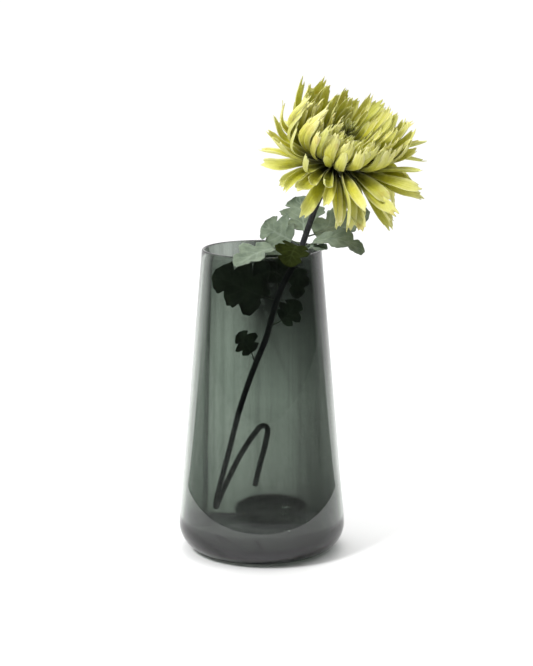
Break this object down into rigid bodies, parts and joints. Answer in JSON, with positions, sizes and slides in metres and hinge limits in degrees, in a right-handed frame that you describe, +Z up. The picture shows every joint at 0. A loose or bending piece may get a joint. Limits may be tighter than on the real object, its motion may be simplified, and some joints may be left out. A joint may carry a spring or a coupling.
{
  "type": "glass vase with artificial flower stem",
  "caption": "Tapered smoke-glass vase with a rounded foot and open mouth, holding one artificial chrysanthemum whose folded wire stem lifts out and whose head turns on a peg.",
  "frame": {"origin": "middle of the vase's flat base, on the surface it stands on", "axes": "+Z up along the vase's axis, -Y towards the front, +X to the right; the flower leans to the front right"},
  "size_m": [0.1946, 0.1863, 0.3828],
  "materials": {
    "smoke_glass": "clear smoke-tinted glass, fire-polished",
    "stem_plastic": "matt charcoal sleeve, faintly ribbed",
    "wire": "drawn wire",
    "calyx_plastic": "matt moulded plastic",
    "petal_fabric": "moulded polyester petals, fine weave",
    "bud_fabric": "moulded polyester, fine weave",
    "leaf_fabric": "moulded polyester leaf with pressed veins",
    "leaf_rib_plastic": "matt moulded stalk"
  },
  "bodies": {
    "vase": {"vase": "smoke_glass"},
    "stem": {"stem_sleeve": "stem_plastic", "stem_wire": "wire", "neck_collar": "stem_plastic", "leaf_1": "leaf_fabric", "leaf_2": "leaf_fabric", "leaf_3": "leaf_fabric", "leaf_4": "leaf_fabric", "leaf_5": "leaf_fabric", "leaf_6": "leaf_fabric", "leaf_7": "leaf_fabric", "leaf_8": "leaf_fabric", "leaf_9": "leaf_fabric", "leaf_10": "leaf_fabric", "leaf_11": "leaf_fabric", "leaf_12": "leaf_fabric", "leaf_13": "leaf_fabric", "leaf_rib_1": "leaf_rib_plastic", "leaf_rib_2": "leaf_rib_plastic", "leaf_rib_3": "leaf_rib_plastic", "leaf_rib_4": "leaf_rib_plastic", "leaf_rib_5": "leaf_rib_plastic", "leaf_rib_6": "leaf_rib_plastic", "leaf_rib_7": "leaf_rib_plastic", "leaf_rib_8": "leaf_rib_plastic", "leaf_rib_9": "leaf_rib_plastic", "leaf_rib_10": "leaf_rib_plastic", "leaf_rib_11": "leaf_rib_plastic", "leaf_rib_12": "leaf_rib_plastic", "leaf_rib_13": "leaf_rib_plastic"},
    "head": {"calyx": "calyx_plastic", "petal_spindle": "calyx_plastic", "centre_bud": "bud_fabric", "petal_layer_1": "petal_fabric", "petal_layer_2": "petal_fabric", "petal_layer_3": "petal_fabric", "petal_layer_4": "petal_fabric", "petal_layer_5": "petal_fabric", "petal_layer_6": "petal_fabric", "petal_layer_7": "petal_fabric", "petal_layer_8": "petal_fabric", "petal_layer_9": "petal_fabric", "petal_layer_10": "petal_fabric", "petal_layer_11": "petal_fabric"}
  },
  "joints": [
    {"name": "stem_lift", "type": "slide", "parent": "vase", "child": "stem", "axis": [0.0595, -0.1091, 0.9922], "range_m": [0, 0.245]},
    {"name": "head_turn", "type": "hinge", "parent": "stem", "child": "head", "pos_m": [0.05, -0.043, 0.3055], "axis": [0.2954, -0.4219, 0.8572], "continuous": true}
  ]
}
